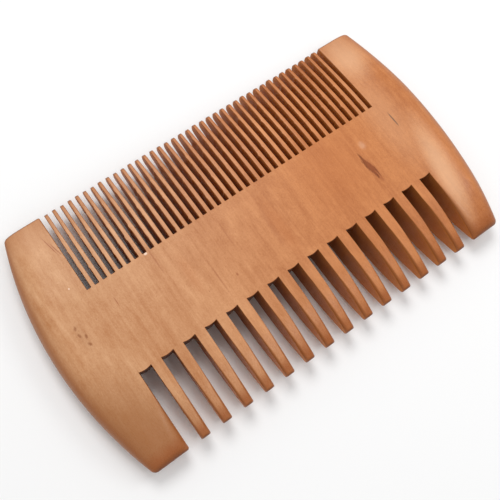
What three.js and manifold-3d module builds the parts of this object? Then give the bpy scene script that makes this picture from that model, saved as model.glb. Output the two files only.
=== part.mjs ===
// Double-sided wooden beard comb, lying flat.
// Millimetres, +Z up. X runs along the comb and +Y points towards the fine teeth.
// The origin lies under the middle of the outline, on the surface that the comb rests on.
//
// The comb is sawn from one blank of wood. Its regions are modelled as separate solids that
// meet face to face: a spine, a guard at each end, a fine row of teeth and a coarse row.

import * as THREE from 'three';
import { mergeVertices } from 'three/addons/utils/BufferGeometryUtils.js';
import Module from 'manifold-3d';

// Blank
const LENGTH = 105;
const WIDTH = 60;
const THICKNESS = 8.2;
const SPINE_WIDTH = 20.8;

// Both rows are cut slightly off the blank's middle, so the guard on the left is the wider one.
const ROW_OFFSET = 0.7;

// The arc of each end: its radius, and how far along Y its outermost point lies.
const LEFT_ARC = { reach: LENGTH / 2 + ROW_OFFSET, radius: 91.7, crownY: -0.2 };
const RIGHT_ARC = { reach: LENGTH / 2 - ROW_OFFSET, radius: 114, crownY: 2.1 };

// Both long sides are sanded down from the flat middle to thin tips, the coarse side more steeply.
const FINE_SANDING = { width: 20.8, power: 1.5 };
const COARSE_SANDING = { width: 13.4, power: 2 };
const TIP_THICKNESS = 2.8;

// Fine teeth
const FINE_TEETH = 39;
const FINE_PITCH = 1.98;
const FINE_GAP = 1.04;
const FINE_LENGTH = 20.8;
const FINE_TIP_WIDTH = 0.84;

// Coarse teeth
const COARSE_TEETH = 14;
const COARSE_PITCH = 5.46;
const COARSE_GAP = 3.0;
const COARSE_TIP_WIDTH = 2.15;
const GULLET_BULGE = 0.24;

// Easing of the edges
const ROOT_EDGE_RADIUS = 0.12;
const OUTER_ROLL_WIDTH = 4.0;
const OUTER_CORNER_RADIUS = 0.9;
const INNER_CORNER_RADIUS = 0.7;
const COARSE_END_CHAMFER = 0.45;
const FINE_END_CHAMFER = 0.3;

// Worked out from the sizes above
const FINE_ROOT_Y = WIDTH / 2 - FINE_LENGTH;
const COARSE_ROOT_Y = FINE_ROOT_Y - SPINE_WIDTH;
const COARSE_LENGTH = COARSE_ROOT_Y + WIDTH / 2;
const FINE_WALL_X = ((FINE_TEETH + 1) * FINE_PITCH - (FINE_PITCH - FINE_GAP)) / 2;
const COARSE_WALL_X = ((COARSE_TEETH + 1) * COARSE_PITCH - (COARSE_PITCH - COARSE_GAP)) / 2;

const wasm = await Module();
wasm.setup();

const comb = new THREE.Group();
comb.position.x = ROW_OFFSET;

function woodMaterial(color) {
  return new THREE.MeshStandardMaterial({ color, roughness: 0.5, metalness: 0 });
}

function addPiece(name, geometry, color, x = 0, y = 0) {
  const mesh = new THREE.Mesh(geometry, woodMaterial(color));
  mesh.name = name;
  mesh.position.set(x, y, 0);
  comb.add(mesh);
}

function sandingAt(y) {
  return y > 0 ? FINE_SANDING : COARSE_SANDING;
}

// Thickness of the comb at y: flat in the middle, then falling in a curve to the tips.
function thicknessAt(y) {
  const { width, power } = sandingAt(y);
  const sanded = Math.max(0, Math.abs(y) - (WIDTH / 2 - width)) / width;
  return THICKNESS - (THICKNESS - TIP_THICKNESS) * sanded ** power;
}

// How far a corner of the given radius has pulled an edge in at a distance from the corner's end.
function cornerInset(radius, distanceToEnd) {
  const along = Math.max(0, radius - distanceToEnd);
  return radius - Math.sqrt(radius ** 2 - along ** 2);
}

// A rectangle in the XZ plane with rounded corners, centred on the comb's middle plane.
function roundedSection(y, width, thickness, radius, stepsPerCorner) {
  const ring = [];
  for (let corner = 0; corner < 4; corner += 1) {
    const start = corner * Math.PI / 2;
    const cornerX = (corner === 0 || corner === 3 ? 1 : -1) * (width / 2 - radius);
    const cornerZ = (corner < 2 ? 1 : -1) * (thickness / 2 - radius);
    for (let step = 0; step <= stepsPerCorner; step += 1) {
      const angle = start + step / stepsPerCorner * Math.PI / 2;
      ring.push(new THREE.Vector3(
        cornerX + radius * Math.cos(angle),
        y,
        THICKNESS / 2 + cornerZ + radius * Math.sin(angle),
      ));
    }
  }
  return ring;
}

// A closed skin over rings that go anticlockwise as seen from -Y and are listed towards +Y.
function loft(rings) {
  const count = rings[0].length;
  const indices = [];
  for (let j = 0; j < rings.length - 1; j += 1) {
    for (let i = 0; i < count; i += 1) {
      const next = (i + 1) % count;
      const a = j * count + i;
      const b = j * count + next;
      indices.push(a, a + count, b, b, a + count, b + count);
    }
  }
  const last = (rings.length - 1) * count;
  for (let i = 1; i < count - 1; i += 1) {
    indices.push(0, i, i + 1);
    indices.push(last, last + i + 1, last + i);
  }
  const geometry = new THREE.BufferGeometry().setFromPoints(rings.flat());
  geometry.setIndex(indices);
  geometry.computeVertexNormals();
  return geometry;
}

// One tooth, rooted at y = 0 and pointing along side * Y. Its edges are crisp at the root and are
// eased more and more towards the tip, where the end is chamfered.
function toothGeometry(side, rootY, length, rootWidth, tipWidth, chamfer, steps, stepsPerCorner) {
  const sandedLength = sandingAt(side).width;
  const flatLength = length - sandedLength;
  const distances = [0];
  for (let step = flatLength > 0 ? 0 : 1; step <= steps; step += 1) {
    distances.push(flatLength + (sandedLength - chamfer) * step / steps);
  }
  const rings = distances.map((distance) => {
    const width = rootWidth + (tipWidth - rootWidth) * distance / length;
    const eased = Math.max(0, distance - flatLength) / sandedLength;
    const radius = ROOT_EDGE_RADIUS + (0.4 * width - ROOT_EDGE_RADIUS) * eased;
    const thickness = thicknessAt(rootY + side * distance);
    return roundedSection(side * distance, width, thickness, radius, stepsPerCorner);
  });
  const endWidth = tipWidth - chamfer;
  const endThickness = TIP_THICKNESS - chamfer;
  rings.push(roundedSection(side * length, endWidth, endThickness, 0.4 * endWidth, stepsPerCorner));
  if (side < 0) {
    rings.reverse();
  }
  return loft(rings);
}

function addTeeth(prefix, count, pitch, rootY, geometry, color) {
  for (let index = 1; index <= count; index += 1) {
    const x = (index - (count + 1) / 2) * pitch;
    addPiece(`${prefix}_${String(index).padStart(2, '0')}`, geometry, color, x, rootY);
  }
}

// The slab between the two rows. Each coarse gap ends in a shallow arc that bulges into the gap.
function spineGeometry() {
  const outline = new THREE.Shape();
  outline.moveTo(-COARSE_WALL_X, FINE_ROOT_Y);
  for (let gap = 0; gap <= COARSE_TEETH; gap += 1) {
    const centre = (gap - COARSE_TEETH / 2) * COARSE_PITCH;
    outline.lineTo(centre - COARSE_GAP / 2, COARSE_ROOT_Y);
    outline.quadraticCurveTo(
      centre,
      COARSE_ROOT_Y - 2 * GULLET_BULGE,
      centre + COARSE_GAP / 2,
      COARSE_ROOT_Y,
    );
  }
  outline.lineTo(COARSE_WALL_X, FINE_ROOT_Y);
  return new THREE.ExtrudeGeometry(outline, { depth: THICKNESS, bevelEnabled: false, curveSegments: 6 });
}

// A guard's section at one y: a straight inner wall, flat faces and a half-round outer edge.
// The arc's reach is the distance from the middle of the rows to the outermost point of the guard.
function guardSection(y, arc, rollSteps) {
  const distanceToEnd = WIDTH / 2 - Math.abs(y);
  const innerX = FINE_WALL_X + cornerInset(INNER_CORNER_RADIUS, distanceToEnd);
  const arcX = Math.sqrt(arc.radius ** 2 - (y - arc.crownY) ** 2) - arc.radius + arc.reach;
  const outerX = arcX - cornerInset(OUTER_CORNER_RADIUS, distanceToEnd);
  const half = thicknessAt(y) / 2;
  const middleZ = THICKNESS / 2;
  const ring = [new THREE.Vector3(innerX, y, middleZ - half)];
  for (let step = 0; step <= 2 * rollSteps; step += 1) {
    const angle = (step / rollSteps - 1) * Math.PI / 2;
    ring.push(new THREE.Vector3(
      outerX - OUTER_ROLL_WIDTH * (1 - Math.cos(angle)),
      y,
      middleZ + half * Math.sin(angle),
    ));
  }
  ring.push(new THREE.Vector3(innerX, y, middleZ + half));
  return ring;
}

function toSolid(geometry) {
  const bare = geometry.clone();
  bare.deleteAttribute('normal');
  bare.deleteAttribute('uv');
  const merged = mergeVertices(bare);
  return new wasm.Manifold(new wasm.Mesh({
    numProp: 3,
    vertProperties: merged.attributes.position.array,
    triVerts: new Uint32Array(merged.index.array),
  }));
}

function fromSolid(solid) {
  const mesh = solid.getMesh();
  const geometry = new THREE.BufferGeometry();
  geometry.setAttribute('position', new THREE.BufferAttribute(mesh.vertProperties, 3));
  geometry.setIndex(new THREE.BufferAttribute(mesh.triVerts, 1));
  geometry.computeVertexNormals();
  return geometry;
}

// A guard on the right. The coarse row is slightly longer than the fine row, so the guard's inner
// wall steps back beside the spine and the coarse teeth.
function guardSolid(arc) {
  const cornerSteps = 4;
  const bodySteps = 12;
  const rollSteps = 5;
  const stations = [];
  for (let step = 0; step < cornerSteps; step += 1) {
    const turn = step / cornerSteps * Math.PI / 2;
    stations.push(WIDTH / 2 - OUTER_CORNER_RADIUS * (1 - Math.cos(turn)));
  }
  const straight = WIDTH / 2 - OUTER_CORNER_RADIUS;
  for (let step = 0; step < bodySteps; step += 1) {
    stations.push(straight * (1 - step / bodySteps));
  }
  const all = [...stations.map((y) => -y), arc.crownY, ...stations.reverse()];
  const blank = toSolid(loft(all.map((y) => guardSection(y, arc, rollSteps))));
  const setback = COARSE_WALL_X - FINE_WALL_X;
  const cutter = new THREE.BoxGeometry(2 * setback, WIDTH, 2 * THICKNESS);
  cutter.translate(FINE_WALL_X, FINE_ROOT_Y - WIDTH / 2, THICKNESS / 2);
  return blank.subtract(toSolid(cutter));
}

const leftGuard = guardSolid(LEFT_ARC).mirror([1, 0, 0]);
const rightGuard = guardSolid(RIGHT_ARC);
addPiece('spine', spineGeometry(), 0xcf9060);
addPiece('left_guard', fromSolid(leftGuard), 0xc98d62);
addPiece('right_guard', fromSolid(rightGuard), 0xd89868);

const fineTooth = toothGeometry(
  1, FINE_ROOT_Y, FINE_LENGTH, FINE_PITCH - FINE_GAP, FINE_TIP_WIDTH, FINE_END_CHAMFER, 4, 1,
);
addTeeth('fine_tooth', FINE_TEETH, FINE_PITCH, FINE_ROOT_Y, fineTooth, 0xcc8f60);

const coarseTooth = toothGeometry(
  -1, COARSE_ROOT_Y, COARSE_LENGTH, COARSE_PITCH - COARSE_GAP, COARSE_TIP_WIDTH,
  COARSE_END_CHAMFER, 5, 2,
);
addTeeth('coarse_tooth', COARSE_TEETH, COARSE_PITCH, COARSE_ROOT_Y, coarseTooth, 0xc4855a);

export default comb;
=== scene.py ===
import math
import random

import bmesh
import bpy
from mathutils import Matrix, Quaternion, Vector, noise


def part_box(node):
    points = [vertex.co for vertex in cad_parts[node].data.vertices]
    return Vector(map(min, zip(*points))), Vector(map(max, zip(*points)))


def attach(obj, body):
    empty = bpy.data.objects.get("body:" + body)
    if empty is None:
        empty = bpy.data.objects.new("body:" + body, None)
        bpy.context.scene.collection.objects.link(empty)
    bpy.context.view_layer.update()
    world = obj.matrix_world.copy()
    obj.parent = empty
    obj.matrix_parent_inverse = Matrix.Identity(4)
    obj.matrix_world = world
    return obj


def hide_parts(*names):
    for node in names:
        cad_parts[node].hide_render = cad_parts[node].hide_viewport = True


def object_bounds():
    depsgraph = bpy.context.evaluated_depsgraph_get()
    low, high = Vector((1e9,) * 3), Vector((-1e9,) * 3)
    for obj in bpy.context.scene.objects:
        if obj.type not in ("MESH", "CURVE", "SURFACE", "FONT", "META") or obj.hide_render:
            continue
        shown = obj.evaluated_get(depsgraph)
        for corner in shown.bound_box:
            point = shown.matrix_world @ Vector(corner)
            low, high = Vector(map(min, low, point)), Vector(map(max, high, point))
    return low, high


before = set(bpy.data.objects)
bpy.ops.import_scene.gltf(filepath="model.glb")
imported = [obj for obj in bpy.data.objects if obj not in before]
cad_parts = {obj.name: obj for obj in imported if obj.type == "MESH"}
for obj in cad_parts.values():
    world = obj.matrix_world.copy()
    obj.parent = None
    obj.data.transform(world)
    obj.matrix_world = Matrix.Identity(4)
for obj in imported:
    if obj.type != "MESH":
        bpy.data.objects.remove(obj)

# The comb lies flat on the floor: X runs along it, +Y points to the fine teeth, Z is up.
# Every piece is one region of a single blank of wood. So all pieces share one wood material
# and one relief, both worked out from the place in the frame, and neighbours meet flush.

MM = 0.001
cad_low, cad_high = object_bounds()


def middle_x(node):
    """Where the middle of a node's box lies along X."""
    low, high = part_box(node)
    return (low.x + high.x) / 2


def row_pitch(nodes):
    """The distance from one tooth to the next in a row."""
    return (middle_x(nodes[-1]) - middle_x(nodes[0])) / (len(nodes) - 1)


# Places and sizes read from the frame. Walls are measured from the middle of both rows.
spine_low, spine_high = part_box("spine")
left_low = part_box("left_guard")[0]
right_low, right_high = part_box("right_guard")
fine_low, fine_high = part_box("fine_tooth_01")
coarse_low, coarse_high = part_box("coarse_tooth_01")
FINE_NODES = sorted(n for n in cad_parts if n.startswith("fine_tooth"))
COARSE_NODES = sorted(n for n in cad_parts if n.startswith("coarse_tooth"))
THICKNESS = cad_high.z - cad_low.z
MIDDLE_Z = (cad_high.z + cad_low.z) / 2
HALF_WIDTH = (cad_high.y - cad_low.y) / 2
ROWS_X = middle_x("spine")
FINE_ROOT_Y = fine_low.y
COARSE_ROOT_Y = coarse_high.y
FINE_ROOT_WIDTH = fine_high.x - fine_low.x
COARSE_ROOT_WIDTH = coarse_high.x - coarse_low.x
FINE_PITCH = row_pitch(FINE_NODES)
COARSE_PITCH = row_pitch(COARSE_NODES)
FINE_WALL = right_low.x - ROWS_X
COARSE_WALL = spine_high.x - ROWS_X
GULLET_BULGE = COARSE_ROOT_Y - spine_low.y

# The whole blank: its long sides are sanded thin, and its sawn edges are almost sharp.
FINE_SANDING = {"width": 20.8 * MM, "power": 1.5}
COARSE_SANDING = {"width": 13.4 * MM, "power": 2}
TIP_THICKNESS = 2.8 * MM
CRISP_EDGE = 0.1 * MM
RELIEF_DEPTH = 0.05 * MM
RELIEF_SPAN_X = 9 * MM
RELIEF_SPAN_Y = 14 * MM
RELIEF_SEED = 3.7


def smoothstep(low, high, value):
    t = min(1.0, max(0.0, (value - low) / (high - low)))
    return t * t * (3 - 2 * t)


def half_thickness(y):
    """Half of the comb's thickness at y: flat in the middle, then falling to thin tips."""
    sanding = FINE_SANDING if y > 0 else COARSE_SANDING
    sanded = max(0.0, abs(y) - (HALF_WIDTH - sanding["width"])) / sanding["width"]
    return THICKNESS / 2 - (THICKNESS - TIP_THICKNESS) / 2 * sanded ** sanding["power"]


def nose_inset(depth, length, distance):
    """How far a quarter-round nose has pulled a surface in, at a distance from the tip."""
    along = min(1.0, max(0.0, 1 - distance / length))
    return depth * (1 - math.sqrt(1 - along ** 2))


def with_relief(point):
    """The hand-sanded unevenness of both faces: a slight squeeze towards the middle plane."""
    x, y, z = point
    uneven = noise.noise(Vector((x / RELIEF_SPAN_X, y / RELIEF_SPAN_Y, RELIEF_SEED)))
    depth = RELIEF_DEPTH * (0.5 + 0.5 * uneven)
    return (x, y, MIDDLE_Z + (z - MIDDLE_Z) * (1 - 2 * depth / THICKNESS))


# --- wood ---------------------------------------------------------------------------------------


class Nodes:
    """Short calls for building a node tree."""

    def __init__(self, material):
        material.use_nodes = True
        self.tree = material.node_tree
        self.tree.nodes.clear()

    def add(self, kind, inputs=None, **settings):
        node = self.tree.nodes.new(kind)
        for key, value in settings.items():
            setattr(node, key, value)
        for key, value in (inputs or {}).items():
            self.feed(node.inputs[key], value)
        return node

    def feed(self, socket, value):
        if isinstance(value, bpy.types.NodeSocket):
            self.tree.links.new(value, socket)
        else:
            socket.default_value = value

    def math(self, operation, a, b=0.0, clamp=False):
        inputs = {0: a, 1: b}
        return self.add("ShaderNodeMath", inputs, operation=operation, use_clamp=clamp).outputs[0]

    def swing(self, layer, amount):
        """Turns noise from 0 to 1 into a swing around 0."""
        return self.math("MULTIPLY", self.math("SUBTRACT", layer, 0.5), amount)

    def split(self, vector):
        return self.add("ShaderNodeSeparateXYZ", {"Vector": vector}).outputs

    def scaled(self, vector, scale, offset=(0, 0, 0)):
        inputs = {"Vector": vector, "Scale": scale, "Location": offset}
        return self.add("ShaderNodeMapping", inputs).outputs[0]

    def noise(self, place, scale, offset=(0, 0, 0), detail=2.0, rough=0.5, distortion=0.0):
        inputs = {
            "Vector": self.scaled(place, scale, offset), "Scale": 1.0, "Detail": detail,
            "Roughness": rough, "Distortion": distortion,
        }
        return self.add("ShaderNodeTexNoise", inputs).outputs[0]

    def ramp(self, value, start, end, before=0.0, after=1.0):
        """A smooth change from before to after, as the value goes from start to end."""
        inputs = {0: value, 1: start, 2: end, 3: before, 4: after}
        settings = {"clamp": True, "interpolation_type": "SMOOTHSTEP"}
        return self.add("ShaderNodeMapRange", **settings, inputs=inputs).outputs[0]

    def mix(self, factor, a, b):
        return self.add("ShaderNodeMix", {0: factor, 6: a, 7: b}, data_type="RGBA").outputs[2]


def srgb(red, green, blue):
    """A linear colour from the 0 to 255 values that a screen shows."""
    linear = []
    for value in (red, green, blue):
        c = value / 255
        linear.append(c / 12.92 if c <= 0.04045 else ((c + 0.055) / 1.055) ** 2.4)
    return (*linear, 1.0)


# The wood is a greyer tan on the left and more orange on the right, each with two shades.
TAN_DARK = srgb(182, 124, 80)
TAN_LIGHT = srgb(212, 162, 120)
ORANGE_DARK = srgb(172, 101, 54)
ORANGE_LIGHT = srgb(208, 136, 82)
TAN_TO_ORANGE_X = (-48.0, 25.0)
PORE = srgb(148, 84, 46)
# Partly handling, partly painted shade of the tapered tips
HANDLED_AND_SHADED = srgb(152, 82, 38)
# Painted shade for the rims and slopes that turn away from upright
RIM_PAINTED_SHADE = srgb(150, 86, 40)
# End grain that took the finish darker, and partly painted shade of the ends
END_GRAIN_AND_SHADE = srgb(114, 60, 26)
END_SPOT = srgb(92, 46, 22)
SAWN_DARK = srgb(158, 92, 36)
SAWN_LIGHT = srgb(198, 128, 64)
# Painted light on the coarse walls towards the tips, and a paler shade on the fine side
SAWN_PALE_AND_LIT = srgb(208, 132, 64)

# Layers of noise, scaled per millimetre along X, Y and Z. The grain runs along Y.
LAYERS = {
    "bands": {"scale": (0.13, 0.02, 0.1), "detail": 3.0, "rough": 0.55, "distortion": 0.5},
    "mottle": {"scale": (0.5, 0.3, 0.5), "detail": 5.0, "rough": 0.7},
    "streak": {
        "scale": (1.3, 0.09, 1.3), "offset": (7.0, 0, 0), "detail": 3.0, "rough": 0.55,
        "distortion": 0.3,
    },
    "fibre": {"scale": (6.0, 0.5, 6.0), "detail": 4.0, "rough": 0.65, "distortion": 0.2},
    "speckle": {"scale": (3.2, 2.2, 3.2), "offset": (0, 0, 5.0), "detail": 3.0, "rough": 0.7},
    "pores": {"scale": (6.0, 1.3, 6.0), "offset": (0, 31.0, 0), "rough": 0.6},
    "end_spots": {"scale": (1.6, 1.6, 2.4), "offset": (3.0, 9.0, 0), "rough": 0.6},
    "saw_marks": {"scale": (0.5, 3.5, 0.35), "offset": (0, 0, 17.0), "detail": 3.0, "rough": 0.6},
}
MARK_EDGE = {"scale": (6.0, 1.4, 6.0), "detail": 4.0, "rough": 0.7}
GRAIN_WEIGHTS = {"bands": 1.7, "mottle": 1.0, "streak": 0.9, "fibre": 0.45, "speckle": 0.9}

# Where along Y the wood is darker towards the tips, partly from handling and partly painted shade of
# the tapered ends, in mm: from, to, and how much there
HANDLING_AND_TIP_SHADE = ((-13.0, -30.0, 0.25), (-24.5, -29.0, 0.85), (20.0, 30.0, 0.35))

# Sawn walls: how much of their colour shows, and where along Y they are paler. Towards the coarse tips
# the walls are painted paler, a painted light where more light reaches into the opening gaps; on the
# fine side they are paler all along.
SAWN_COVER = 0.8
PALER_AND_LIT = ((-15.0, -27.0, 0.9), (9.0, 9.4, 0.6))

# Marks on the top face: centre in mm, length and width in mm, turn in degrees, softness of the
# edge, raggedness, strength, and the colour that the wood turns to there.
KNOT = srgb(96, 42, 6)
REDDISH = srgb(148, 76, 38)
PALE = srgb(244, 214, 190)
# Partly paler wood, partly a painted sheen on the guards
WARM_PALE_AND_SHEEN = srgb(244, 196, 154)
TAN_SPOT = srgb(134, 74, 32)
# A painted shade for the lower part of the left guard and its rim
PAINTED_SHADE = srgb(150, 94, 50)
ORANGE = srgb(180, 102, 50)
CRACK = srgb(70, 38, 24)
MARK_REACH = 1.15
MARKS = [
    ((29.4, 0.2), 3.0, 0.6, -5, 0.7, 0.6, 0.9, KNOT),
    ((29.5, -2.3), 4.6, 1.2, -6, 0.4, 2.0, 1.0, KNOT),
    ((30.2, -3.2), 3.6, 0.7, -10, 0.4, 1.8, 0.95, KNOT),
    ((29.8, -4.6), 3.2, 0.6, -2, 0.4, 1.8, 0.95, KNOT),
    ((30.4, -5.0), 2.4, 0.35, -6, 0.7, 1.2, 0.8, KNOT),
    ((29.9, -3.0), 7.6, 2.2, -5, 1.0, 1.6, 0.65, REDDISH),
    ((30.2, -6.4), 2.4, 1.0, 0, 1.0, 1.2, 0.5, REDDISH),
    ((31.5, 2.6), 2.6, 2.0, 0, 1.0, 1.6, 0.22, PALE),
    ((42.0, 3.7), 4.4, 0.36, -2, 0.5, 0.6, 1.0, CRACK),
    ((-44.8, 3.5), 1.4, 0.8, 20, 0.9, 1.2, 0.6, TAN_SPOT),
    ((-44.8, 1.7), 1.5, 0.7, -15, 0.9, 1.2, 0.6, TAN_SPOT),
    ((-43.7, 0.9), 1.4, 0.7, 10, 0.9, 1.2, 0.7, TAN_SPOT),
    ((-43.9, -0.9), 1.3, 0.8, -30, 0.9, 1.2, 0.7, TAN_SPOT),
    ((-44.3, 1.0), 8.0, 3.5, 0, 1.0, 1.2, 0.16, TAN_SPOT),
    ((-41.4, 11.5), 0.5, 0.4, 0, 0.8, 0.3, 0.8, PALE),
    ((-34.7, 3.6), 2.8, 0.3, 0, 0.9, 1.0, 0.65, REDDISH),
    ((-39.9, 22.3), 6.8, 0.34, -11, 0.8, 0.7, 0.85, REDDISH),
    ((-39.2, 21.0), 5.2, 0.32, -13, 0.8, 0.7, 0.75, REDDISH),
    ((-24.0, 8.9), 0.7, 0.9, 0, 0.7, 0.8, 0.95, PALE),
    ((43.0, -28.7), 0.7, 1.8, 0, 0.9, 1.4, 0.6, TAN_SPOT),
    ((45.3, -28.4), 0.7, 1.4, 0, 0.9, 1.4, 0.65, TAN_SPOT),
    ((46.7, -27.7), 0.8, 0.9, 0, 0.9, 1.4, 0.6, TAN_SPOT),
    ((2.3, -2.0), 15.0, 1.8, 3, 1.0, 1.6, 0.3, REDDISH),
    ((4.0, -2.6), 18.0, 4.0, 0, 1.0, 1.2, 0.3, ORANGE),
    ((-14.0, -4.3), 11.0, 0.5, 0, 1.0, 1.4, 0.45, REDDISH),
    ((-10.3, -6.1), 0.9, 0.6, 0, 0.9, 0.8, 0.6, REDDISH),
    ((-23.1, 6.6), 8.5, 0.5, 0, 1.0, 1.4, 0.4, REDDISH),
    ((-7.0, 3.0), 10.0, 0.6, 2, 1.0, 1.6, 0.3, REDDISH),
    ((-18.6, 0.0), 13.0, 3.0, 0, 1.0, 1.2, 0.2, ORANGE),
    # Broad pale marks on the guards: partly paler wood, partly a painted sheen, such as the satin band
    # along the right guard.
    ((43.7, -13.5), 36.0, 7.0, 10, 1.0, 0.6, 0.5, WARM_PALE_AND_SHEEN),
    ((41.0, 6.0), 40.0, 12.0, 0, 1.0, 0.6, 0.18, WARM_PALE_AND_SHEEN),
    ((44.0, 25.0), 20.0, 12.0, 0, 1.0, 0.6, 0.5, WARM_PALE_AND_SHEEN),
    ((23.0, 3.0), 30.0, 26.0, 0, 1.0, 0.8, 0.35, ORANGE),
    ((-43.0, 25.0), 16.0, 12.0, 0, 1.0, 0.6, 0.2, WARM_PALE_AND_SHEEN),
    # Painted shade over the lower part of the left guard and its rim.
    ((-45.0, -22.0), 40.0, 22.0, -20, 1.0, 0.6, 0.7, PAINTED_SHADE),
]


def spot(n, place, centre, length, width, angle, soft, ragged):
    """A mask for one mark: an ellipse along the grain, turned by angle in degrees."""
    turn = math.radians(angle)
    moved = n.add("ShaderNodeVectorMath", {0: place, 1: (*centre, 0)}, operation="SUBTRACT").outputs[0]
    turned = n.add("ShaderNodeMapping", {"Vector": moved, "Rotation": (0, 0, turn)}).outputs[0]
    sized = n.scaled(turned, (2 / width, 2 / length, 0))
    reach = n.add("ShaderNodeVectorMath", {0: sized}, operation="LENGTH").outputs["Value"]
    edge = n.noise(place, offset=(*centre, 0), **MARK_EDGE)
    reach = n.math("ADD", reach, n.swing(edge, ragged))
    return n.ramp(reach, MARK_REACH, MARK_REACH - soft)


def grain_color(n, x, layers):
    tone = 0.5
    for name, weight in GRAIN_WEIGHTS.items():
        tone = n.math("ADD", tone, n.swing(layers[name], weight))
    tone = n.math("ADD", tone, 0.0, clamp=True)
    orange = n.ramp(x, *TAN_TO_ORANGE_X)
    dark = n.mix(orange, TAN_DARK, ORANGE_DARK)
    light = n.mix(orange, TAN_LIGHT, ORANGE_LIGHT)
    return n.mix(tone, dark, light)


def with_marks(n, place, z, color):
    """The knot, the crack, the scratches and the broad shades, on the top half only. Some broad shades
    are painted sheen and painted shade.
    """
    top = n.ramp(z, MIDDLE_Z / MM - 0.1, MIDDLE_Z / MM + 0.1)
    for centre, length, width, angle, soft, ragged, strength, shade in MARKS:
        mask = spot(n, place, centre, length, width, angle, soft, ragged)
        mask = n.math("MULTIPLY", mask, n.math("MULTIPLY", top, strength))
        color = n.mix(mask, color, shade)
    return color


def strongest(n, y, stretches):
    """How strong an effect is at y, where each stretch gives from, to and the strength there."""
    strength = 0.0
    for start, end, most in stretches:
        strength = n.math("MAXIMUM", strength, n.ramp(y, start, end, after=most))
    return strength


def with_finish_and_painted_shade(n, y, normal, layers, color):
    """Darker and redder: both rows of tips and the end grain, partly finish and partly painted shade;
    the rims, painted shade where the surface turns from upright.
    """
    # Partly painted shade: the tips are painted darker and redder towards their ends.
    handled_and_shaded = strongest(n, y, HANDLING_AND_TIP_SHADE)
    handled_and_shaded = n.math("MULTIPLY", handled_and_shaded, n.ramp(layers["mottle"], 0.25, 0.6, before=0.6))
    color = n.mix(handled_and_shaded, color, HANDLED_AND_SHADED)
    upright = n.math("ABSOLUTE", normal[2])
    # Painted shade: the further the surface turns from upright, the darker and redder it is painted.
    color = n.mix(n.ramp(upright, 0.999, 0.7, after=0.75), color, RIM_PAINTED_SHADE)
    # End grain takes the finish darker; this is also painted shade on the ends and noses that face
    # along Y.
    end_grain_and_shade = n.ramp(n.math("ABSOLUTE", normal[1]), 0.4, 0.9, after=0.85)
    color = n.mix(end_grain_and_shade, color, END_GRAIN_AND_SHADE)
    end_spots = n.math("MULTIPLY", n.ramp(layers["end_spots"], 0.56, 0.68), end_grain_and_shade)
    return n.mix(n.math("MULTIPLY", end_spots, 0.7), color, END_SPOT)


def sawn_walls(n, x, normal):
    """A mask of the walls that the saw left. They all lie between the two guards."""
    sawn = n.ramp(n.math("ABSOLUTE", normal[0]), 0.93, 1.0, after=SAWN_COVER)
    off_middle = n.math("ABSOLUTE", n.math("SUBTRACT", x, ROWS_X / MM))
    wall = COARSE_WALL / MM + 1.0
    return n.math("MULTIPLY", sawn, n.ramp(off_middle, wall - 0.2, wall + 0.2, before=1.0, after=0.0))


def wood_material():
    """One wood for the whole blank: grain and pores, marks, finish and rough sawn walls, with painted
    shade, sheen and light among them.
    """
    material = bpy.data.materials.new("pear_wood")
    n = Nodes(material)
    place = n.scaled(n.add("ShaderNodeTexCoord").outputs["Object"], (1 / MM, 1 / MM, 1 / MM))
    x, y, z = n.split(place)
    normal = n.split(n.add("ShaderNodeNewGeometry").outputs["Normal"])
    layers = {name: n.noise(place, **layer) for name, layer in LAYERS.items()}

    color = grain_color(n, x, layers)
    pores = n.ramp(layers["pores"], 0.62, 0.76)
    color = n.mix(n.math("MULTIPLY", pores, 0.45), color, PORE)
    color = with_marks(n, place, z, color)
    color = with_finish_and_painted_shade(n, y, normal, layers, color)
    sawn = sawn_walls(n, x, normal)
    saw_color = n.mix(layers["saw_marks"], SAWN_DARK, SAWN_LIGHT)
    # Painted light: the walls are painted paler towards the coarse tips.
    saw_color = n.mix(strongest(n, y, PALER_AND_LIT), saw_color, SAWN_PALE_AND_LIT)
    color = n.mix(sawn, color, saw_color)

    # The finish is smoother towards the coarse tips, and the sawn walls hardly shine.
    rough = n.ramp(layers["fibre"], 0.3, 0.8, before=0.32, after=0.44)
    rough = n.math("MULTIPLY", rough, n.ramp(y, -14.0, -19.0, before=1.0, after=0.8))
    shine = n.ramp(sawn, 0.0, SAWN_COVER, before=0.26, after=0.05)
    height = n.math("ADD", n.math("MULTIPLY", layers["fibre"], 0.5), n.math("MULTIPLY", pores, -0.6))
    skin = n.math("ADD", layers["mottle"], layers["speckle"])
    height = n.math("ADD", height, n.math("MULTIPLY", skin, 0.6))
    ridges = n.math("MULTIPLY", layers["saw_marks"], sawn)
    height = n.math("ADD", height, n.math("MULTIPLY", ridges, 1.5))
    bump = n.add("ShaderNodeBump", {"Strength": 0.4, "Distance": 0.08 * MM, "Height": height})
    shader = n.add("ShaderNodeBsdfPrincipled", {
        "Base Color": color, "Roughness": rough, "Specular IOR Level": shine,
        "Normal": bump.outputs[0],
    })
    n.add("ShaderNodeOutputMaterial", {"Surface": shader.outputs[0]})
    return material


WOOD = wood_material()

# --- pieces -------------------------------------------------------------------------------------

SAME_PLACE = 0.0005 * MM
SHARP_ANGLE = math.radians(35)


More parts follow.
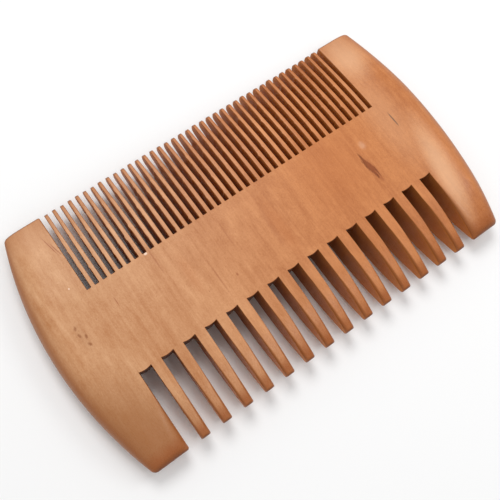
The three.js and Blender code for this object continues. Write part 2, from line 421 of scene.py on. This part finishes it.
def finish_piece(node, vertices, faces):
    """Makes the piece that stands for a CAD node, with merged vertices and crisp sharp edges."""
    mesh = bpy.data.meshes.new(node + "_wood")
    mesh.from_pydata([with_relief(v) for v in vertices], [], faces)
    piece = bpy.data.objects.new(node + "_wood", mesh)
    bpy.context.scene.collection.objects.link(piece)
    bm = bmesh.new()
    bm.from_mesh(mesh)
    bmesh.ops.remove_doubles(bm, verts=bm.verts, dist=SAME_PLACE)
    bmesh.ops.dissolve_degenerate(bm, edges=bm.edges, dist=SAME_PLACE)
    bmesh.ops.recalc_face_normals(bm, faces=bm.faces)
    bm.to_mesh(mesh)
    bm.free()
    mesh.shade_smooth()
    mesh.set_sharp_from_angle(angle=SHARP_ANGLE)
    weighted = piece.modifiers.new("weighted_normals", "WEIGHTED_NORMAL")
    weighted.keep_sharp = True
    mesh.materials.append(WOOD)
    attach(piece, "root")
    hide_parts(node)


def loft(node, rings):
    """A closed skin over equal rings of points."""
    count = len(rings[0])
    vertices = [point for ring in rings for point in ring]
    faces = []
    for j in range(len(rings) - 1):
        for i in range(count):
            a = j * count + i
            b = j * count + (i + 1) % count
            faces.append((a, b, b + count, a + count))
    faces.append(tuple(reversed(range(count))))
    last = (len(rings) - 1) * count
    faces.append(tuple(range(last, last + count)))
    finish_piece(node, vertices, faces)


# --- spine --------------------------------------------------------------------------------------

# Each coarse gap ends in a shallow arc, and its wall leans back towards the underside.
GULLET_SETBACK = 0.55 * MM
GULLET_ARC_STEPS = 10
GULLET_WALL_STEPS = 8
SPINE_FACE_STEPS = 12
CLOSEST_COLUMNS = 0.004 * MM


def gaps(count, pitch, width):
    """The two edges of every gap in a row that has count teeth."""
    centres = [ROWS_X + (i - count / 2) * pitch for i in range(count + 1)]
    return [(c - width / 2, c + width / 2) for c in centres]


FINE_GAPS = gaps(len(FINE_NODES), FINE_PITCH, FINE_PITCH - FINE_ROOT_WIDTH)
COARSE_GAPS = gaps(len(COARSE_NODES), COARSE_PITCH, COARSE_PITCH - COARSE_ROOT_WIDTH)


def inside_gap(x, row):
    """How far x is across the gap it lies in, from 0 to 1, or None over a tooth."""
    for low, high in row:
        if low < x < high:
            return (x - low) / (high - low)
    return None


def spine_columns():
    """Where the spine's sections lie along X: at the edges of every gap and over each arc."""
    columns = {spine_low.x, spine_high.x}
    for low, high in COARSE_GAPS:
        steps = range(GULLET_ARC_STEPS + 1)
        columns.update(low + (high - low) * i / GULLET_ARC_STEPS for i in steps)
        columns.update((low + CRISP_EDGE, high - CRISP_EDGE))
    for low, high in FINE_GAPS:
        columns.update((low, high, low + CRISP_EDGE, high - CRISP_EDGE))
    columns = sorted(x for x in columns if spine_low.x <= x <= spine_high.x)
    return [x for i, x in enumerate(columns) if i == 0 or x - columns[i - 1] > CLOSEST_COLUMNS]


def spine_section(x):
    """The spine's section at x: the top face, the underside, then the wall on the coarse side."""
    across_arc = inside_gap(x, COARSE_GAPS)
    in_coarse_gap = across_arc is not None
    in_fine_gap = inside_gap(x, FINE_GAPS) is not None
    coarse_ease = CRISP_EDGE if in_coarse_gap else 0.0
    fine_ease = CRISP_EDGE if in_fine_gap else 0.0
    setback = GULLET_SETBACK if in_coarse_gap else 0.0
    bulge = GULLET_BULGE * 4 * across_arc * (1 - across_arc) if in_coarse_gap else 0.0
    start, end = COARSE_ROOT_Y - bulge, FINE_ROOT_Y
    face = [(start, THICKNESS / 2 - coarse_ease)]
    for i in range(SPINE_FACE_STEPS + 1):
        y = start + coarse_ease + (end - fine_ease - start - coarse_ease) * i / SPINE_FACE_STEPS
        face.append((y, THICKNESS / 2))
    face.append((end, THICKNESS / 2 - fine_ease))
    upper = [(x, y, MIDDLE_Z + z) for y, z in face]
    lower = [(x, max(y, start + setback), MIDDLE_Z - z) for y, z in reversed(face)]
    wall = []
    for i in range(1, GULLET_WALL_STEPS):
        up = i / GULLET_WALL_STEPS
        z = (THICKNESS / 2 - coarse_ease) * (2 * up - 1)
        wall.append((x, start + setback * (1 - up ** 2), MIDDLE_Z + z))
    return upper + lower + wall


loft("spine", [spine_section(x) for x in spine_columns()])

# --- guards -------------------------------------------------------------------------------------

# The outer edges are arcs in plan, with a roll that takes no more than a share of the width.
LEFT_ARC = {"side": -1, "reach": ROWS_X - left_low.x, "radius": 91.7 * MM, "crown_y": -0.2 * MM}
RIGHT_ARC = {"side": 1, "reach": right_high.x - ROWS_X, "radius": 114 * MM, "crown_y": 2.1 * MM}
ROLL_WIDTH = 6.5 * MM
ROLL_MOST = 0.58
ROLL_POWER = 2.6
ROLL_SPREAD = 0.9
ROLL_STEPS = 24

# The four corners are small rounds in plan, and the faces round over at both ends.
OUTER_CORNER = 0.9 * MM
INNER_CORNER = 0.5 * MM
END_DEPTH = 0.9 * MM
FINE_END_LENGTH = 0.6 * MM
COARSE_END_LENGTH = 1.8 * MM
END_STEPS = 8

# The inner walls' edges grow rounder between two distances from the root.
FINE_WALL_EDGE = {"width": 0.25 * MM, "height": 0.25 * MM, "from": 8 * MM, "to": 20 * MM}
COARSE_WALL_EDGE = {"width": 2.3 * MM, "height": 1.3 * MM, "from": 1 * MM, "to": 18 * MM}
WALL_EDGE_MOST = 0.9
WALL_EDGE_STEPS = 8
SMALLEST_FLAT = 0.02 * MM
FLAT_STEPS = 6


def wall_edge(y):
    """The width and height of the round on the inner wall's edge. Beside the spine it has none."""
    if COARSE_ROOT_Y <= y <= FINE_ROOT_Y:
        return 0.0, 0.0
    edge = FINE_WALL_EDGE if y > FINE_ROOT_Y else COARSE_WALL_EDGE
    past_root = max(y - FINE_ROOT_Y, COARSE_ROOT_Y - y)
    rounding = smoothstep(edge["from"], edge["to"], past_root)
    return CRISP_EDGE + edge["width"] * rounding, CRISP_EDGE + edge["height"] * rounding


def guard_half_section(y, arc):
    """The upper half of a guard's section at y, from its inner wall to its outer edge."""
    distance = HALF_WIDTH - abs(y)
    end_length = FINE_END_LENGTH if y > 0 else COARSE_END_LENGTH
    half = half_thickness(y) - nose_inset(END_DEPTH, end_length, distance)
    edge_width, edge_height = wall_edge(y)
    edge_height = min(edge_height, WALL_EDGE_MOST * half)
    wall = FINE_WALL if y > FINE_ROOT_Y else COARSE_WALL
    inner = wall + nose_inset(INNER_CORNER, INNER_CORNER, distance)
    outer = math.sqrt(arc["radius"] ** 2 - (y - arc["crown_y"]) ** 2) - arc["radius"] + arc["reach"]
    outer -= nose_inset(OUTER_CORNER, OUTER_CORNER, distance)
    roll_width = min(ROLL_WIDTH, ROLL_MOST * (outer - inner))
    flat_start = max(COARSE_WALL, inner + edge_width + SMALLEST_FLAT)
    flat_end = outer - roll_width
    section = []
    for i in range(WALL_EDGE_STEPS + 1):
        angle = i / WALL_EDGE_STEPS * math.pi / 2
        x = inner + edge_width * (1 - math.cos(angle))
        section.append((x, half - edge_height * (1 - math.sin(angle))))
    for i in range(FLAT_STEPS):
        section.append((flat_start + (flat_end - flat_start) * i / FLAT_STEPS, half))
    for i in range(ROLL_STEPS + 1):
        turn = math.sin(i / ROLL_STEPS * math.pi / 2) ** ROLL_SPREAD
        section.append((flat_end + roll_width * turn, half * math.sqrt(1 - turn ** ROLL_POWER)))
    return section


def guard_stations(crown_y):
    """Where a guard's sections lie along Y: every millimetre, at both roots, closer at the ends."""
    turns = [1 - math.sin(i / END_STEPS * math.pi / 2) for i in range(END_STEPS + 1)]
    corners = [HALF_WIDTH - size * turn for turn in turns for size in (OUTER_CORNER, INNER_CORNER)]
    last = math.floor((HALF_WIDTH - COARSE_END_LENGTH) / MM)
    stations = corners + [-y for y in corners] + [i * MM for i in range(-last, last + 1)]
    stations += [HALF_WIDTH - FINE_END_LENGTH * turn for turn in turns]
    stations += [COARSE_END_LENGTH * turn - HALF_WIDTH for turn in turns]
    stations += [crown_y, COARSE_ROOT_Y, COARSE_ROOT_Y - CRISP_EDGE]
    stations += [FINE_ROOT_Y, FINE_ROOT_Y + CRISP_EDGE / 10]
    return sorted({round(y / MM, 3) * MM for y in stations})


def make_guard(node, arc):
    """An end guard: flat faces, a rolled outer arc, and an inner wall eased towards the tips."""
    rings = []
    for y in guard_stations(arc["crown_y"]):
        upper = guard_half_section(y, arc)
        lower = [(x, -z) for x, z in reversed(upper[:-1])]
        rings.append([(ROWS_X + arc["side"] * x, y, MIDDLE_Z + z) for x, z in upper + lower])
    loft(node, rings)


make_guard("left_guard", LEFT_ARC)
make_guard("right_guard", RIGHT_ARC)

# --- teeth --------------------------------------------------------------------------------------

FINE_TEETH = {
    "nodes": FINE_NODES, "direction": 1, "root_y": FINE_ROOT_Y, "root_width": FINE_ROOT_WIDTH,
    "tip_width": 0.84 * MM, "narrowing": 1.0, "stations": 90,
    "nose_length": 0.95 * MM, "nose_height": 1.1 * MM, "nose_width": 0.14 * MM,
    "round_from": 0.3, "round_width": 0.2 * MM, "round_height": 0.3 * MM,
    "uneven_length": 0.22 * MM, "uneven_width": 0.05 * MM, "lean": 0.07 * MM,
    "chips": 5, "chip_size": 0.13 * MM,
}
COARSE_TEETH = {
    "nodes": COARSE_NODES, "direction": -1, "root_y": COARSE_ROOT_Y,
    "root_width": COARSE_ROOT_WIDTH, "tip_width": 2.3 * MM, "narrowing": 1.3, "stations": 40,
    "nose_length": 0.7 * MM, "nose_height": 0.45 * MM, "nose_width": 0.3 * MM,
    "round_from": 0.1, "round_width": 0.75 * MM, "round_height": 1.1 * MM,
    "uneven_length": 0.03 * MM, "uneven_width": 0.04 * MM, "lean": 0.06 * MM,
    "chips": 3, "chip_size": 0.04 * MM,
}
NOSE_STEPS = 12
CORNER_STEPS = 6
MOST_ROUNDED = 0.96
CLEAR_OF_ROOT = 0.04
UNEVEN_SPAN = 2.3 * MM

# Splinters: where along the tooth, how far each reaches, and its share of the row's chip size.
# A share below 0 is a nick.
CHIP_PLACES = (0.05, 0.85)
CHIP_REACHES = (0.15 * MM, 0.5 * MM)
CHIP_SHARES = (-0.6, 1)


def rounded_ring(x, y, half_width, half_height, round_x, round_z):
    """A rounded rectangle across a tooth at y, as a ring of points."""
    ring = []
    for corner in range(4):
        side = 1 if corner in (0, 3) else -1
        up = 1 if corner < 2 else -1
        for i in range(CORNER_STEPS + 1):
            angle = (corner + i / CORNER_STEPS) * math.pi / 2
            px = side * (half_width - round_x) + round_x * math.cos(angle)
            pz = up * (half_height - round_z) + round_z * math.sin(angle)
            ring.append((x + px, y, MIDDLE_Z + pz))
    return ring


def draw_chips(draw, row, length):
    """The splinters of one tooth, each with its place, size and reach."""
    chips = []
    for _ in range(row["chips"]):
        place = draw.uniform(*CHIP_PLACES) * length
        reach = draw.uniform(*CHIP_REACHES)
        size = draw.uniform(*CHIP_SHARES) * row["chip_size"]
        chips.append((place, size, reach))
    return chips


def chip_width(chips, distance):
    """The width that small splinters left by the saw add to a tooth's left wall."""
    return sum(size * math.exp(-(((distance - place) / reach) ** 2)) for place, size, reach in chips)


def make_tooth(node, row):
    """One tooth: crisp at the root, then thinner, narrower and rounder towards its tip."""
    draw = random.Random(node)
    low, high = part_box(node)
    length = high.y - low.y - draw.uniform(0, row["uneven_length"])
    lean = draw.uniform(-1, 1) * row["lean"]
    uneven_seed = draw.uniform(0, 100)
    chips = draw_chips(draw, row, length)
    nose_length, nose_width = row["nose_length"], row["nose_width"]
    straight = length - nose_length
    distances = [straight * i / row["stations"] for i in range(row["stations"])]
    turns = [math.sin(i / NOSE_STEPS * math.pi / 2) for i in range(NOSE_STEPS + 1)]
    distances += [length - nose_length * (1 - turn) for turn in turns]
    rings = []
    for distance in distances:
        along = distance / length
        to_tip = length - distance
        y = row["root_y"] + row["direction"] * distance
        clear_of_root = smoothstep(0.0, CLEAR_OF_ROOT, along)
        uneven = noise.noise(Vector((uneven_seed, distance / UNEVEN_SPAN, 0.0)))
        width = row["root_width"] + (row["tip_width"] - row["root_width"]) * along ** row["narrowing"]
        width += row["uneven_width"] * uneven * clear_of_root
        chip = chip_width(chips, distance) * clear_of_root
        centre = middle_x(node) + lean * along ** 2 - chip / 2
        half_width = width / 2 - nose_inset(nose_width, nose_width, to_tip) + chip / 2
        half_height = half_thickness(y) - nose_inset(row["nose_height"], nose_length, to_tip)
        rounding = smoothstep(row["round_from"], 1.0, along)
        round_x = CRISP_EDGE + (row["round_width"] - CRISP_EDGE) * rounding
        round_z = CRISP_EDGE + (row["round_height"] - CRISP_EDGE) * rounding
        round_x = min(round_x, MOST_ROUNDED * half_width)
        round_z = min(round_z, MOST_ROUNDED * half_height)
        rings.append(rounded_ring(centre, y, half_width, half_height, round_x, round_z))
    loft(node, rings)


for teeth in (FINE_TEETH, COARSE_TEETH):
    for tooth_node in teeth["nodes"]:
        make_tooth(tooth_node, teeth)

# --- stage --------------------------------------------------------------------------------------

FLOOR_REACH = 2.0
FLOOR_COLOR = (0.9, 0.9, 0.9, 1.0)
FLOOR_ROUGHNESS = 0.8
STUDIO_COLOR = (1.0, 1.0, 1.0, 1.0)
STUDIO_STRENGTH = 0.61

# Soft round lights, all turned to the comb: name, position, diameter and power
LIGHTS = (
    ("key", (0.07, 0.26, 0.42), 0.25, 1.05),
    ("window", (0.34, -0.02, 0.34), 0.16, 0.3),
    ("sheen", (0.10, -0.16, 0.42), 0.12, 0.2),
)

# The camera looks at a point on the top face. Lens and sensor are in mm, angles in degrees.
CAMERA = {
    "lens": 47.7, "sensor": 36, "azimuth": -50.14, "elevation": 73.06, "roll": 15.03,
    "distance": 144.9 * MM, "aim": (-4.86 * MM, -3.23 * MM, cad_high.z), "clip_start": 0.01,
}


def make_floor():
    mesh = bpy.data.meshes.new("floor")
    reach = FLOOR_REACH
    corners = [(-reach, -reach, 0), (reach, -reach, 0), (reach, reach, 0), (-reach, reach, 0)]
    mesh.from_pydata(corners, [], [(0, 1, 2, 3)])
    floor = bpy.data.objects.new("floor", mesh)
    bpy.context.scene.collection.objects.link(floor)
    material = bpy.data.materials.new("pale_floor")
    material.use_nodes = True
    shader = material.node_tree.nodes["Principled BSDF"]
    shader.inputs["Base Color"].default_value = FLOOR_COLOR
    shader.inputs["Roughness"].default_value = FLOOR_ROUGHNESS
    mesh.materials.append(material)


def make_camera():
    data = bpy.data.cameras.new("camera")
    data.lens = CAMERA["lens"]
    data.sensor_width = CAMERA["sensor"]
    data.clip_start = CAMERA["clip_start"]
    camera = bpy.data.objects.new("camera", data)
    bpy.context.scene.collection.objects.link(camera)
    azimuth, elevation = math.radians(CAMERA["azimuth"]), math.radians(CAMERA["elevation"])
    back = Vector((
        math.sin(azimuth) * math.cos(elevation),
        -math.cos(azimuth) * math.cos(elevation),
        math.sin(elevation),
    ))
    roll = Quaternion((0, 0, 1), math.radians(CAMERA["roll"]))
    camera.location = Vector(CAMERA["aim"]) + back * CAMERA["distance"]
    camera.rotation_mode = "QUATERNION"
    camera.rotation_quaternion = (-back).to_track_quat("-Z", "Y") @ roll
    bpy.context.scene.camera = camera


def make_world():
    world = bpy.data.worlds.new("studio")
    world.use_nodes = True
    background = world.node_tree.nodes["Background"]
    background.inputs["Color"].default_value = STUDIO_COLOR
    background.inputs["Strength"].default_value = STUDIO_STRENGTH
    bpy.context.scene.world = world


def add_light(name, position, size, power):
    data = bpy.data.lights.new(name, "AREA")
    data.shape = "DISK"
    data.size = size
    data.energy = power
    lamp = bpy.data.objects.new(name, data)
    bpy.context.scene.collection.objects.link(lamp)
    lamp.location = position
    lamp.rotation_mode = "QUATERNION"
    lamp.rotation_quaternion = (-Vector(position)).to_track_quat("-Z", "Y")


make_floor()
make_camera()
make_world()
for light in LIGHTS:
    add_light(*light)
bpy.context.scene.view_settings.view_transform = "Standard"
